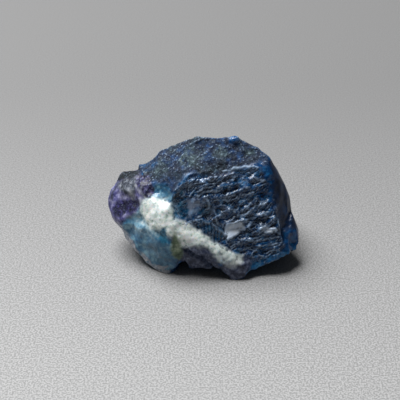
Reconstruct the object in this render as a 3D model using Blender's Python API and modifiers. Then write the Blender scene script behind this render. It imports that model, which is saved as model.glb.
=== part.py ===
"""Rough piece of afghanite, a blue crystal mass with a calcite seam, built as one solid stone.

The stone lies on a small flat spot at z = 0. X runs left to right across its broad ridged
face, Y runs from that face to the back, and Z is up. All shapes are worked out in
millimetres, and the finished mesh is turned to metres at the end.
"""

import itertools

import bmesh
import bpy
import numpy as np
from mathutils import Matrix, Vector, noise

METRES_PER_MM = 0.001

# Driving dimensions of the whole stone, in millimetres.
WIDTH = 22.2
DEPTH = 16.4
HEIGHT = 14.1

# Corners of the blocks that the stone is grown from, as (x, y, z) in millimetres.
BLUE_MASS = [
    # skyline, from left to right
    (-7.9, 1.8, 9.9), (-5.6, 1.3, 11.6), (-3.7, 1.2, 12.7), (-0.8, 0.8, 13.8), (3.0, 0.8, 13.9),
    (6.1, 0.0, 13.0), (7.2, -0.5, 12.2), (8.1, -0.9, 10.4),
    # crest between the top slope and the ridged face
    (-6.0, -2.6, 9.8), (-1.8, -3.2, 11.2), (1.1, -3.2, 10.8), (4.2, -2.7, 11.2), (6.9, -2.3, 11.4),
    # left border of the ridged face
    (-3.5, -4.1, 9.6), (-4.3, -4.8, 8.1), (-3.4, -5.5, 6.3), (-2.4, -6.2, 3.8),
    # sharp right edge of the ridged face, top to bottom
    (7.1, -3.0, 9.7), (7.9, -3.8, 7.6), (8.5, -4.6, 5.6), (8.9, -5.4, 3.7), (9.3, -6.0, 2.0),
    # smooth right side
    (9.2, -1.2, 8.6), (9.9, -1.3, 6.6), (10.2, -2.0, 4.6), (10.4, -3.0, 2.0), (9.9, -1.0, 2.2),
    # overhanging rim at the lower right, then the foot under it
    (9.8, -5.7, 1.9), (7.8, -6.4, 1.6), (6.5, -6.8, 1.0), (5.6, -7.0, 0.6),
    (7.2, -3.2, -0.2), (5.8, -5.2, -0.3), (0.2, -6.7, 0.4), (-2.0, -6.6, 0.6), (-2.4, -4.4, -0.4),
    # back
    (5.6, 5.6, 9.9), (1.6, 5.4, 10.6), (-2.8, 5.8, 9.0), (9.3, 3.6, 6.4), (8.0, 3.2, 0.5),
    (8.2, 5.2, 4.4), (4.0, 8.5, 5.6), (0.6, 8.6, 3.4), (-3.0, 8.2, 6.0), (-4.9, 6.5, 2.8),
    (3.8, 6.2, -0.2), (-3.2, 5.6, -0.1), (-6.8, 4.4, 4.8), (-5.2, 3.0, 0.4), (0.8, 0.6, -0.5),
]
VIOLET_KNOB = [
    (-11.1, -0.6, 5.0), (-10.7, 0.6, 7.0), (-9.5, 1.4, 8.6), (-8.0, 1.6, 9.0),
    (-6.4, -0.6, 9.2), (-6.4, -2.6, 9.0),
    (-10.6, -0.9, 3.9), (-9.8, -2.2, 3.3), (-8.8, -3.2, 4.7), (-7.6, -3.8, 5.3),
    (-7.0, -3.5, 6.8), (-9.0, -2.1, 6.4),
    (-9.0, -1.2, 7.8), (-10.6, 2.2, 4.6), (-9.0, 3.4, 6.6), (-6.4, 4.0, 7.0), (-9.0, 1.8, 3.7),
    (-6.0, 1.4, 2.6),
]
CALCITE_HEART = [
    (-7.2, -3.2, 8.0), (-6.2, -3.9, 7.9), (-4.2, -4.9, 8.0), (-3.2, -5.8, 6.2),
    (-4.6, -6.2, 5.2), (-5.6, -5.2, 6.0),
    (-7.0, -4.2, 5.4), (-8.0, -3.5, 5.4), (-5.0, -3.8, 9.2), (-5.0, -1.0, 8.6),
    (-6.0, -1.0, 4.4), (-3.0, -3.0, 3.4),
    (-6.8, -2.5, 9.1), (-5.8, -2.2, 9.8), (-7.0, -1.0, 9.2),
]
PALE_LOBE = [
    (-9.9, -2.2, 3.3), (-9.3, -2.9, 2.5), (-8.5, -3.7, 1.9), (-7.3, -4.7, 0.9),
    (-5.6, -5.8, 0.1), (-4.2, -6.4, -0.3),
    (-3.3, -6.5, 0.6), (-3.6, -6.6, 1.9), (-3.7, -6.6, 3.2), (-4.7, -6.3, 4.6),
    (-6.2, -5.5, 3.8), (-8.0, -4.2, 3.9),
    (-7.6, -4.0, 5.2), (-2.2, -6.2, 1.6), (-2.6, -4.6, -0.4), (-5.4, -3.8, -0.4),
    (-7.4, -1.6, 1.0), (-4.4, -1.4, -0.4),
    (-4.5, -6.2, 5.4), (-5.7, -5.3, 5.9), (-2.5, -6.3, 4.0), (-7.2, -3.8, 5.8),
]
UNDER_THE_KNOB = [
    (-9.6, -1.1, 3.4), (-9.3, -2.0, 3.5), (-8.4, -2.8, 3.9), (-8.2, -2.4, 1.6), (-9.0, 0.8, 3.6),
    (-7.6, 2.8, 3.6), (-5.6, 4.6, 3.2), (-4.6, 3.4, 0.3), (-6.6, 1.2, 0.9), (-6.6, -2.2, 0.3),
    (-3.5, -3.0, 0.6), (-3.0, 2.0, 4.0), (-6.0, 0.0, 5.0),
]
CALCITE_TOE = [
    (3.6, -7.6, -0.7), (2.8, -7.6, 0.0), (4.3, -7.5, -0.3), (5.3, -7.2, 0.8), (5.3, -6.9, 1.5),
    (4.2, -7.1, 1.9),
    (2.7, -7.4, 1.0), (1.8, -7.2, 1.8), (0.5, -6.7, 3.3), (1.0, -6.3, 4.0), (3.1, -6.7, 2.8),
    (-0.9, -6.0, 5.2),
    (-1.8, -6.4, 4.0), (-3.2, -5.9, 6.0), (-4.2, -6.2, 5.2), (4.8, -5.6, -0.5),
    (2.6, -5.4, -0.5), (-1.6, -3.4, 2.4),
]
RIGHT_LEDGE = [
    (10.9, -2.8, 3.5), (10.7, -3.6, 3.1), (10.9, -4.3, 2.5), (10.6, -5.1, 1.9), (9.7, -5.8, 2.0),
    (9.5, -4.4, 4.9), (10.0, -2.4, 5.9), (9.8, -0.8, 4.9), (10.3, -1.0, 3.2), (9.2, 0.2, 2.6),
    (8.6, -2.0, 1.2), (8.8, -4.8, 1.4),
]
TOP_NUB = [
    (2.9, 0.0, 13.5), (3.9, -0.2, 13.4), (4.2, 0.6, 13.8), (3.5, 0.9, 14.2), (2.8, 0.8, 14.0),
    (3.0, 1.8, 12.6), (4.0, 1.6, 12.6),
]

# Bites taken out of the blocks: name, centre, radii and turn about Z in degrees.
BITES = [
    ("arch_under_the_front", (-0.6, -7.2, -0.8), (3.1, 3.0, 1.4), 10),
    ("hollow_below_the_seam", (-0.5, -8.2, 2.5), (2.2, 1.4, 1.0), 8),
    ("notch_behind_the_knob", (-7.9, 4.2, 10.6), (2.4, 2.2, 1.9), 20),
    ("hollow_under_the_right", (11.6, -1.4, -1.7), (4.4, 5.2, 2.9), 0),
    ("shell_break_on_the_back", (3.6, 11.0, 10.2), (5.2, 4.8, 4.6), 15),
    ("scoop_low_on_the_back", (-3.8, 11.0, 0.6), (4.6, 4.8, 3.2), -20),
    ("chip_on_the_back_left", (-8.4, 8.6, 6.8), (3.4, 3.4, 3.4), 0),
]

# Place of the ridged face: its middle, and its directions out of the stone, to the right and up.
FACE_MIDDLE = np.array((-0.35, -4.33, 8.41))
FACE_OUT = np.array((0.095, -0.913, 0.397))
FACE_ALONG = np.array((0.995, 0.104, 0.0))
FACE_UP = np.array((-0.041, 0.395, 0.918))

# Bands of steps on the ridged face: middle and reach on the face, pitch, climb in degrees, height.
STEP_BANDS = [
    ((3.6, 1.5), (5.4, 2.1), 1.15, 12, 0.30),
    ((5.2, -2.0), (4.3, 2.3), 1.05, 31, 0.42),
    ((5.4, -5.3), (4.6, 1.5), 0.95, 13, 0.30),
    ((-1.0, 1.2), (2.0, 1.8), 1.00, 38, 0.22),
    ((0.6, -6.4), (2.6, 1.0), 0.80, -20, 0.18),
]
# Glassy facets on the ridged face: middle and reach on the face, lean to the right and up, lift.
FACETS = [
    ((-0.3, -1.2), (1.3, 1.3), -0.10, -0.12, 0.00),
    ((0.8, -1.5), (0.8, 0.5), 0.25, 0.30, -0.30),
    ((1.1, -4.0), (2.1, 1.3), -0.05, 0.12, -0.15),
    ((4.2, -4.1), (1.5, 1.0), -0.08, -0.32, -0.02),
    ((2.8, -1.9), (0.8, 0.6), -0.10, -0.40, 0.05),
    ((-2.3, -0.8), (1.1, 2.2), 0.10, 0.02, -0.30),
    ((7.5, 0.6), (1.0, 1.0), 0.20, 0.05, -0.30),
]
# The calcite seam runs through these points, each with its half width.
SEAM = [
    ((-6.4, -3.9, 7.6), 1.3), ((-4.4, -5.3, 6.5), 1.5), ((-2.6, -5.9, 5.3), 1.0),
    ((0.9, -6.5, 3.4), 0.9), ((3.8, -7.0, 1.6), 0.9),
]
SEAM_BULGE = 0.12
# Spots under the stone that stay smooth, so that the level cut leaves a flat to rest on.
FLAT_SPOTS = [
    ((0.8, 0.6, -0.4), (4.6, 4.2, 1.6)),
    ((-4.2, -5.4, -0.2), (1.6, 1.6, 0.8)),
    ((3.7, -6.6, -0.3), (1.4, 1.4, 0.8)),
]
# A run of steps holds together over one lane, and turns a little from lane to lane.
LANE = (3.0, 1.7, 50.0)
LANE_SWING = 0.22
TREAD_START = 0.76

# Linear colour of the blue crystal mass.
GLASSY_BLUE = (0.022, 0.045, 0.085)
GLASSY_ROUGHNESS = 0.3

FUSING_VOXEL = 0.2
CARVED_VOXEL = 0.16
STONE_TRIANGLES = 9600
# Size of the slab below z = 0 that the foot is cut level with.
GROUND = (60.0, 60.0, 10.0)
NEIGHBOURS = list(itertools.product((-1, 0, 1), repeat=3))
DRAW_TABLE = 16


def clear_scene():
    for old in list(bpy.data.objects):
        bpy.data.objects.remove(old)


def new_collection(name):
    collection = bpy.data.collections.new(name)
    bpy.context.scene.collection.children.link(collection)
    return collection


def helper_object(name, shape, collection):
    """A shape that only takes part in Booleans, so it is never a piece itself."""
    mesh = bpy.data.meshes.new(name)
    shape.to_mesh(mesh)
    shape.free()
    helper = bpy.data.objects.new(name, mesh)
    helper.hide_render = True
    helper.display_type = "WIRE"
    collection.objects.link(helper)
    return helper


def block(name, corners, collection):
    """The tightest closed solid around the corners."""
    shape = bmesh.new()
    for corner in corners:
        shape.verts.new(corner)
    hull = bmesh.ops.convex_hull(shape, input=shape.verts)
    inside = [part for part in hull["geom_interior"] if isinstance(part, bmesh.types.BMVert)]
    bmesh.ops.delete(shape, geom=inside, context="VERTS")
    bmesh.ops.recalc_face_normals(shape, faces=shape.faces)
    return helper_object(name, shape, collection)


def bite(name, centre, radii, turn, collection):
    """A flattened ball, whose shallow hollow is what a chip leaves in glassy stone."""
    shape = bmesh.new()
    bmesh.ops.create_icosphere(shape, subdivisions=4, radius=1.0)
    turned = Matrix.Rotation(np.radians(turn), 4, "Z")
    place = Matrix.Translation(centre) @ turned @ Matrix.Diagonal((*radii, 1))
    bmesh.ops.transform(shape, matrix=place, verts=shape.verts)
    return helper_object(name, shape, collection)


def baked(obj, name):
    """Replaces an object with a plain mesh of what its modifiers make."""
    graph = bpy.context.evaluated_depsgraph_get()
    mesh = bpy.data.meshes.new_from_object(obj.evaluated_get(graph))
    result = bpy.data.objects.new(name, mesh)
    obj.users_collection[0].objects.link(result)
    bpy.data.objects.remove(obj)
    return result


def add_even_skin(stone, voxel):
    skin = stone.modifiers.new("even_skin", "REMESH")
    skin.mode = "VOXEL"
    skin.voxel_size = voxel


def fused_stone(collection, cutters):
    """Joins the blocks, takes out the bites and gives the result an even skin."""
    first = block("blue_mass", BLUE_MASS, cutters)
    stone = bpy.data.objects.new("fused", first.data.copy())
    collection.objects.link(stone)
    others = {
        "violet_knob": VIOLET_KNOB, "calcite_heart": CALCITE_HEART, "pale_lobe": PALE_LOBE,
        "calcite_toe": CALCITE_TOE, "right_ledge": RIGHT_LEDGE, "top_nub": TOP_NUB,
        "under_the_knob": UNDER_THE_KNOB,
    }
    for name, corners in others.items():
        join = stone.modifiers.new("join_" + name, "BOOLEAN")
        join.operation = "UNION"
        join.object = block(name, corners, cutters)
    for name, centre, radii, turn in BITES:
        cut = stone.modifiers.new("cut_" + name, "BOOLEAN")
        cut.operation = "DIFFERENCE"
        cut.object = bite(name, centre, radii, turn, cutters)
    add_even_skin(stone, FUSING_VOXEL)
    return baked(stone, "skinned")


def vertex_arrays(mesh):
    points = np.empty(len(mesh.vertices) * 3, np.float32)
    mesh.vertices.foreach_get("co", points)
    normals = np.empty(len(mesh.vertices) * 3, np.float32)
    mesh.vertex_normals.foreach_get("vector", normals)
    return points.reshape(-1, 3).astype(float), normals.reshape(-1, 3).astype(float)


def set_points(mesh, points):
    mesh.vertices.foreach_set("co", points.astype(np.float32).ravel())
    mesh.update()


def soft_noise(points, size, shift):
    """Smooth noise from about -1 to 1, whose swells are about one size across."""
    return np.array([noise.noise(Vector(p)) for p in points / size + shift])


def scallops(points, size, tilt, seed):
    """Height of a surface broken into shallow bowls that meet in sharp crests, in bowl widths."""
    draws = np.random.default_rng(seed).random((DRAW_TABLE,) * 3 + (7,))
    scaled = points / np.array(size)
    cell = np.floor(scaled).astype(int)
    lowest = np.full(len(points), np.inf)
    for step in NEIGHBOURS:
        corner = cell + step
        draw = draws[tuple((corner % DRAW_TABLE).T)]
        away = scaled - corner - draw[:, :3]
        leaning = ((draw[:, 3:6] * 2 - 1) * away).sum(1)
        bowl = (away**2).sum(1) + tilt * leaning + 0.4 * draw[:, 6]
        lowest = np.minimum(lowest, bowl)
    return lowest


def smooth_step(value, low, high):
    share = np.clip((value - low) / (high - low), 0, 1)
    return share * share * (3 - 2 * share)


def inside(points, centre, radii, edge=0.25):
    """1 inside an ellipsoid and 0 outside it, turning smoothly over a share of its radius."""
    reach = np.sqrt((((points - np.array(centre)) / np.array(radii)) ** 2).sum(1))
    return 1 - smooth_step(reach, 1 - edge, 1 + edge)


def along_line(points, start, end, radius, edge=0.25):
    """1 inside a round-ended rod and 0 outside it, turning smoothly over a share of its radius."""
    start, axis = np.array(start), np.array(end) - np.array(start)
    share = np.clip((points - start) @ axis / (axis @ axis), 0, 1)
    reach = np.linalg.norm(points - start - share[:, None] * axis, axis=1) / radius
    return 1 - smooth_step(reach, 1 - edge, 1 + edge)


def nearest_cell(points, size, seed):
    """The way to each point from its nearest cell, in cells, and that cell's own draws."""
    draws = np.random.default_rng(seed).random((DRAW_TABLE,) * 3 + (7,))
    scaled = points / np.array(size)
    cell = np.floor(scaled).astype(int)
    nearest = np.full(len(points), np.inf)
    way, own = np.zeros((len(points), 3)), np.zeros((len(points), 7))
    for step in NEIGHBOURS:
        corner = cell + step
        draw = draws[tuple((corner % DRAW_TABLE).T)]
        away = scaled - corner - draw[:, :3]
        reach = (away**2).sum(1)
        closer = reach < nearest
        nearest[closer] = reach[closer]
        way[closer], own[closer] = away[closer], draw[closer]
    return way, own


def terraces(along, up, pitch, climb, seed):
    """Broken steps up a face: each rises slowly, then falls back in a short tread that faces up."""
    turn = np.radians(climb)
    forward = along * np.cos(turn) + up * np.sin(turn)
    across = up * np.cos(turn) - along * np.sin(turn)
    flat = np.stack([forward, across, np.full_like(up, seed)], axis=1)
    flat[:, 1] += 0.30 * soft_noise(flat, 1.6, seed + 7)
    way, own = nearest_cell(flat, LANE, seed)
    swing = LANE_SWING * (2 * own[:, 3] - 1) * way[:, 0] * LANE[0]
    phase = (flat[:, 1] + swing) / (pitch * (0.8 + 0.5 * own[:, 4])) + own[:, 5]
    share = phase - np.floor(phase)
    tooth = np.where(share < TREAD_START, share / TREAD_START, (1 - share) / (1 - TREAD_START))
    return tooth * (0.55 + 0.65 * own[:, 6])


def step_relief(along, up):
    """Height and coverage of the stepped bands on the ridged face."""
    height, covered = np.zeros_like(up), np.zeros_like(up)
    for number, (middle, reach, pitch, climb, rise) in enumerate(STEP_BANDS):
        flat = np.stack([along - middle[0], up - middle[1]], axis=1) / reach
        here = 1 - smooth_step(np.linalg.norm(flat, axis=1), 0.75, 1.15)
        height += here * rise * (terraces(along, up, pitch, climb, number + 1) - 0.4)
        covered = np.maximum(covered, here)
    return height, covered


def face_relief(points):
    """The ridged face: bands of steps, bowls between them, and flat facets that cut across both."""
    offset = points - FACE_MIDDLE
    along, up = offset @ FACE_ALONG, offset @ FACE_UP
    steps, covered = step_relief(along, up)
    bowls = 0.45 * (scallops(points, (1.9, 1.9, 1.5), 0.9, 21) - 0.4)
    height = steps + bowls * (1 - 0.75 * covered)
    for middle, reach, lean_along, lean_up, lift in FACETS:
        aside, above = along - middle[0], up - middle[1]
        within = 1 - smooth_step(np.hypot(aside / reach[0], above / reach[1]), 0.8, 1.05)
        height += within * (lift + lean_along * aside + lean_up * above - height)
    return height


def seam_share(points):
    """1 on the calcite seam and 0 away from it."""
    wavy = points + 0.35 * soft_noise(points, 1.4, 40)[:, None]
    share = np.zeros(len(points))
    for (start, half), (end, next_half) in zip(SEAM, SEAM[1:]):
        share = np.maximum(share, along_line(wavy, start, end, (half + next_half) / 2))
    return share


def relief(points, normals):
    """How far each point of the even skin moves outwards, in millimetres."""
    on_face = smooth_step(normals @ FACE_OUT, 0.72, 0.93) * smooth_step(points[:, 0], -5.0, -3.2)
    high_up = smooth_step(points[:, 2] - 0.35 * points[:, 1], 10.0, 11.6)
    on_top = high_up * smooth_step(normals[:, 2], 0.3, 0.6)
    on_seam = seam_share(points)
    on_knob = inside(points, (-9.2, 0.4, 6.2), (3.0, 4.6, 3.8))
    on_lobe = inside(points, (-6.6, -4.4, 2.6), (3.8, 3.4, 3.4))
    on_right = smooth_step(normals[:, 0], 0.55, 0.85) * smooth_step(points[:, 0], 6.0, 8.0)
    under = np.max([inside(points, centre, reach) for centre, reach in FLAT_SPOTS], axis=0)

    height = 1.25 * (scallops(points, (5.2, 4.6, 4.4), 1.3, 3) - 0.35)
    height += 0.38 * (scallops(points, (2.1, 2.1, 1.7), 0.9, 5) - 0.45)
    top = 0.30 * (scallops(points, (2.0, 1.6, 1.5), 0.9, 8) - 0.45)
    top += 0.06 * soft_noise(points, 0.8, 2)
    right = 0.30 * (scallops(points, (4.5, 4.5, 3.6), 0.8, 11) - 0.45)
    lobe = 0.28 * (scallops(points, (2.4, 2.4, 2.0), 0.9, 14) - 0.45)
    knob = 0.55 * (0.5 - scallops(points, (2.1, 2.1, 1.9), 0.6, 16))
    knob += 0.08 * soft_noise(points, 0.8, 4)
    seam = SEAM_BULGE + 0.12 * soft_noise(points, 1.1, 6) + 0.07 * soft_noise(points, 0.5, 9)
    layers = [
        (on_top, top), (on_right, right), (on_face, face_relief(points)),
        (on_lobe, lobe), (on_knob, knob), (on_seam, seam), (under, 0.0),
    ]
    for share, layer in layers:
        height += share * (layer - height)
    return height


def carve_relief(stone):
    points, normals = vertex_arrays(stone.data)
    set_points(stone.data, points + relief(points, normals)[:, None] * normals)


def rest_on_ground(stone, cutters):
    """Thins the mesh to the triangles that hold its shape, then cuts it level at z = 0."""
    add_even_skin(stone, CARVED_VOXEL)
    stone = baked(stone, "carved")
    thin = stone.modifiers.new("fewer_triangles", "DECIMATE")
    thin.ratio = STONE_TRIANGLES / (2 * len(stone.data.vertices))
    thin.use_collapse_triangulate = True
    ground = bmesh.new()
    place = Matrix.Translation((0, 0, -GROUND[2] / 2)) @ Matrix.Diagonal((*GROUND, 1))
    bmesh.ops.create_cube(ground, size=1.0, matrix=place)
    cut = stone.modifiers.new("level_foot", "BOOLEAN")
    cut.operation = "DIFFERENCE"
    cut.object = helper_object("ground", ground, cutters)
    return baked(stone, "levelled")


def fit_to_box(stone):
    """Sets the driving size, with the origin at the middle of the box's floor."""
    points, _ = vertex_arrays(stone.data)
    low, high = points.min(0), points.max(0)
    middle = np.array([(low[0] + high[0]) / 2, (low[1] + high[1]) / 2, 0])
    stretch = np.array((WIDTH, DEPTH, HEIGHT)) / (high - low)
    set_points(stone.data, (points - middle) * stretch * METRES_PER_MM)


def glassy_blue():
    material = bpy.data.materials.new("afghanite_glassy_blue")
    material.use_nodes = True
    shader = material.node_tree.nodes["Principled BSDF"]
    shader.inputs["Base Color"].default_value = (*GLASSY_BLUE, 1)
    shader.inputs["Roughness"].default_value = GLASSY_ROUGHNESS
    shader.inputs["Metallic"].default_value = 0
    return material


def main():
    clear_scene()
    stone_collection = new_collection("Afghanite")
    cutters = new_collection("Blocks and bites")
    stone = fused_stone(stone_collection, cutters)
    carve_relief(stone)
    stone = rest_on_ground(stone, cutters)
    fit_to_box(stone)
    stone.name = "afghanite"
    stone.data.materials.append(glassy_blue())


main()
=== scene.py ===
# %% [markdown]
# # A rough piece of afghanite
# Afghanite is a deep blue mineral that grows in white marble. This piece broke off with some of the
# marble still on it: a glassy blue mass, a seam of white calcite across its front, a violet knob at
# the left and a pale blue lobe under the knob. The clear blue crystal is called glass below, because
# it breaks like glass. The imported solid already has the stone's size and main shapes, so this script
# adds the fine relief and the minerals that show from close by.

import itertools
import math

import bmesh
import bpy
import numpy as np
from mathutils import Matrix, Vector, noise


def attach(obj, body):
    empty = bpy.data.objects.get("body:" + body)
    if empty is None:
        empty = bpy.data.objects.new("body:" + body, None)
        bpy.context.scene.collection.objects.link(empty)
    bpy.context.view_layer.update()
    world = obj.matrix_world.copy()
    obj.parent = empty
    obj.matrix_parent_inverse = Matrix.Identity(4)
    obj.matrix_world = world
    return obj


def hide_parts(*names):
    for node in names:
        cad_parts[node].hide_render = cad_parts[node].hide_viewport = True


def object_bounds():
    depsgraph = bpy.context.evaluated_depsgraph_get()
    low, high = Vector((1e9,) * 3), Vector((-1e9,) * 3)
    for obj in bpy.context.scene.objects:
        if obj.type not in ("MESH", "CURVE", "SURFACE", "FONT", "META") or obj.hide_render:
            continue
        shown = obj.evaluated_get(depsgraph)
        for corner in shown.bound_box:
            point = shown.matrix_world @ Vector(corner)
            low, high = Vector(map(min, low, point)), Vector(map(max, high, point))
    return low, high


MM = 0.001

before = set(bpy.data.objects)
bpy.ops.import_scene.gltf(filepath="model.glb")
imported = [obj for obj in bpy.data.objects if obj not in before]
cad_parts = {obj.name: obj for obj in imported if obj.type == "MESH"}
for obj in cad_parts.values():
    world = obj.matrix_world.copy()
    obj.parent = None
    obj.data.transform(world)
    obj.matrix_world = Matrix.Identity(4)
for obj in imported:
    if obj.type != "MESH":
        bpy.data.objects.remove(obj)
solid_low, solid_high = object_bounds()
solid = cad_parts["afghanite"]
print("solid stone:", [round(side / MM, 1) for side in solid_high - solid_low], "mm")

# %% [markdown]
# The photograph was taken with a long lens, looking down at about 33 degrees. The camera comes first,
# because some minerals show only on the faces that it sees, and their outlines were traced on the
# photograph. The numbers that place the camera also tell where a point of the stone lands in the
# photograph.

# %% Camera at the photograph's angle
PHOTO_SIDE = 400
PIXELS_PER_MM = 8.5
LOOK_DOWN = math.radians(33)
LENS = 100.0
SENSOR = 36.0
LOOK_AT = np.array((-0.35, -0.05, 5.62))
TO_CAMERA = np.array((0.0, -math.cos(LOOK_DOWN), math.sin(LOOK_DOWN)))
PICTURE_UP = np.array((0.0, math.sin(LOOK_DOWN), math.cos(LOOK_DOWN)))
CAMERA_REACH = PHOTO_SIDE / PIXELS_PER_MM * LENS / SENSOR

camera = bpy.data.objects.new("camera", bpy.data.cameras.new("camera"))
camera.data.lens = LENS
camera.data.sensor_width = SENSOR
camera.data.clip_start = MM
camera.location = (LOOK_AT + CAMERA_REACH * TO_CAMERA) * MM
camera.rotation_euler = (math.pi / 2 - LOOK_DOWN, 0, 0)
bpy.context.scene.collection.objects.link(camera)
bpy.context.scene.camera = camera
print("camera is", round(CAMERA_REACH), "mm from the stone")


def photo_pixels(points):
    """The column and row of the photograph where each point, in mm, lands."""
    away = points - (LOOK_AT + CAMERA_REACH * TO_CAMERA)
    scale = LENS / SENSOR * PHOTO_SIDE / -(away @ TO_CAMERA)
    column = PHOTO_SIDE / 2 + away[:, 0] * scale
    row = PHOTO_SIDE / 2 - (away @ PICTURE_UP) * scale
    return np.stack([column, row], axis=1)


# %% [markdown]
# The solid is made of a few thousand flat triangles, too coarse for glassy breaks and sugary grains. A
# subdivision would keep their uneven sizes. A voxel remesh gives an even skin instead, whose cells
# are about one pixel of the photograph across, and keeps the stone one closed body.

# %% Give the stone an even, fine skin
FINE_CELL = 0.122

shape = bmesh.new()
shape.from_mesh(solid.data)
bmesh.ops.remove_doubles(shape, verts=shape.verts, dist=MM * MM)
bmesh.ops.scale(shape, vec=(1 / MM,) * 3, verts=shape.verts)
coarse = bpy.data.meshes.new("coarse_stone")
shape.to_mesh(coarse)
shape.free()

stone = bpy.data.objects.new("afghanite_broken_stone", coarse)
bpy.context.scene.collection.objects.link(stone)
skin = stone.modifiers.new("even_skin", "REMESH")
skin.mode = "VOXEL"
skin.voxel_size = FINE_CELL
even = bpy.data.meshes.new_from_object(stone.evaluated_get(bpy.context.evaluated_depsgraph_get()))
stone.modifiers.clear()
stone.data = even
print("skin has", len(even.vertices), "points and", 2 * len(even.polygons), "triangles")

# %% [markdown]
# The relief and the minerals are worked out for all points at once, so the mesh is read into arrays.
# From here to the end of the carving, every length is in millimetres.

# %% Read the skin
def read_points(mesh, source, field):
    values = np.empty(len(source) * 3, np.float32)
    source.foreach_get(field, values)
    return values.reshape(-1, 3).astype(float)


def smooth_step(value, low, high):
    """0 below low, 1 above high, and a soft S between them."""
    share = np.clip((value - low) / (high - low), 0, 1)
    return share * share * (3 - 2 * share)


points = read_points(even, even.vertices, "co")
normals = read_points(even, even.vertex_normals, "vector")
print("points read:", len(points))

# %% [markdown]
# This stone is broken in three ways: worn crust, shell-shaped breaks in glass, and steps where crystals
# split in layers. Soft noise, sharp-edged scallops and saw-tooth terraces stand for them. The last two
# scatter centres at random through cells of space, and a fixed seed gives the same stone each time.

# %% Kinds of break
CELLS_AROUND = list(itertools.product((-1, 0, 1), repeat=3))
DRAW_TABLE = 16
DRAWS = 7
ENDLESS = 50.0
TREAD_START = 0.72
LANE_SWING = 0.25


def soft_noise(points, size, shift):
    """Smooth noise from about -1 to 1, whose swells are about one size across."""
    return np.array([noise.noise(Vector(place)) for place in points / size + shift])


def centres_around(points, size, seed):
    """For each cell next to the points' own, the way from its centre in cells, and its own draws."""
    draws = np.random.default_rng(seed).random((DRAW_TABLE,) * 3 + (DRAWS,))
    scaled = points / np.array(size)
    own_cell = np.floor(scaled).astype(int)
    for step in CELLS_AROUND:
        cell = own_cell + step
        draw = draws[tuple((cell % DRAW_TABLE).T)]
        yield scaled - cell - draw[:, :3], draw


def scallops(points, size, tilt, seed):
    """Height of a surface broken into shallow bowls that meet in sharp crests, in bowl widths."""
    lowest = np.full(len(points), np.inf)
    for away, draw in centres_around(points, size, seed):
        leaning = ((draw[:, 3:6] * 2 - 1) * away).sum(1)
        lowest = np.minimum(lowest, (away**2).sum(1) + tilt * leaning + 0.4 * draw[:, 6])
    return lowest


def turned(along, up, climb, bend):
    """Places on a face, the first number running along lines that climb, which a noise bends."""
    turn = math.radians(climb)
    forward = along * math.cos(turn) + up * math.sin(turn)
    across = up * math.cos(turn) - along * math.sin(turn)
    flat = np.stack([forward, across, np.full_like(up, climb)], axis=1)
    flat[:, 1] += bend * soft_noise(flat, 1.6, climb + 7) + 0.25 * bend * soft_noise(flat, 0.6, climb + 9)
    return flat


def terraces(flat, pitch, lane, seed):
    """Steps up a face: each rises slowly, then falls back in a short tread that faces up.

    The face is split into lanes, and each lane draws its own slant, pitch, start and rise.
    """
    nearest = np.full(len(flat), np.inf)
    way = np.zeros(len(flat))
    own = np.zeros((len(flat), DRAWS))
    for away, draw in centres_around(flat, (*lane, ENDLESS), seed):
        reach = (away**2).sum(1)
        closer = reach < nearest
        nearest[closer] = reach[closer]
        way[closer] = away[closer, 0]
        own[closer] = draw[closer]
    swing = LANE_SWING * (2 * own[:, 3] - 1) * way * lane[0]
    phase = (flat[:, 1] + swing) / (pitch * (0.7 + 0.6 * own[:, 4])) + own[:, 5]
    share = phase - np.floor(phase)
    tooth = np.where(share < TREAD_START, share / TREAD_START, (1 - share) / (1 - TREAD_START))
    return tooth * (0.35 + 0.85 * own[:, 6])


broad_grains = soft_noise(points, 1.9, 61) + 0.5 * soft_noise(points, 0.8, 67)
fine_grains = soft_noise(points, 0.45, 53) + 0.6 * soft_noise(points, 0.22, 59)
print("broad grains run from", round(broad_grains.min(), 1), "to", round(broad_grains.max(), 1))

# %% [markdown]
# Where a mineral lies is worked out in two ways. One that runs through the stone, such as the seam or
# the violet knob, is a body in space: balls and rods with soft edges, so that it also comes out right
# at the sides and back. A patch that shows only on the front is an outline traced on the photograph,
# laid on the faces turned to the camera. Noise bends both, because no grain border is a clean curve.

# %% Ways to say where a mineral lies
BORDER_WANDER = 0.22

wander = np.stack([soft_noise(points, 0.9, shift) for shift in (11, 23, 37)], axis=1)
wander += 0.6 * np.stack([soft_noise(points, 0.35, shift) for shift in (5, 17, 29)], axis=1)
bent_points = points + BORDER_WANDER * wander
bent_pixels = photo_pixels(bent_points)
seen = smooth_step(normals @ TO_CAMERA, -0.15, 0.15)
unseen = 1 - seen


def in_ball(centre, radii, edge=0.2):
    """1 inside an ellipsoid and 0 outside, turning smoothly over a share of its radius."""
    reach = np.sqrt((((bent_points - np.array(centre)) / np.array(radii)) ** 2).sum(1))
    return 1 - smooth_step(reach, 1 - edge, 1 + edge)


def along_rods(joints, edge=0.3):
    """1 near a run of rods through joints, each a place and a half width, and 0 away from it."""
    share = np.zeros(len(points))
    for (start, half), (end, next_half) in zip(joints, joints[1:]):
        start = np.array(start)
        axis = np.array(end) - start
        part = np.clip((bent_points - start) @ axis / (axis @ axis), 0, 1)
        reach = np.linalg.norm(bent_points - start - part[:, None] * axis, axis=1)
        reach /= half + part * (next_half - half)
        share = np.maximum(share, 1 - smooth_step(reach, 1 - edge, 1 + edge))
    return share


def pixels_away(corner, end):
    """How far each point lands from one straight stretch of a traced line, in photograph pixels."""
    side = end - corner
    away = bent_pixels - corner
    part = np.clip(away @ side / (side @ side), 0, 1)
    return np.linalg.norm(away - part[:, None] * side, axis=1)


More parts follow.
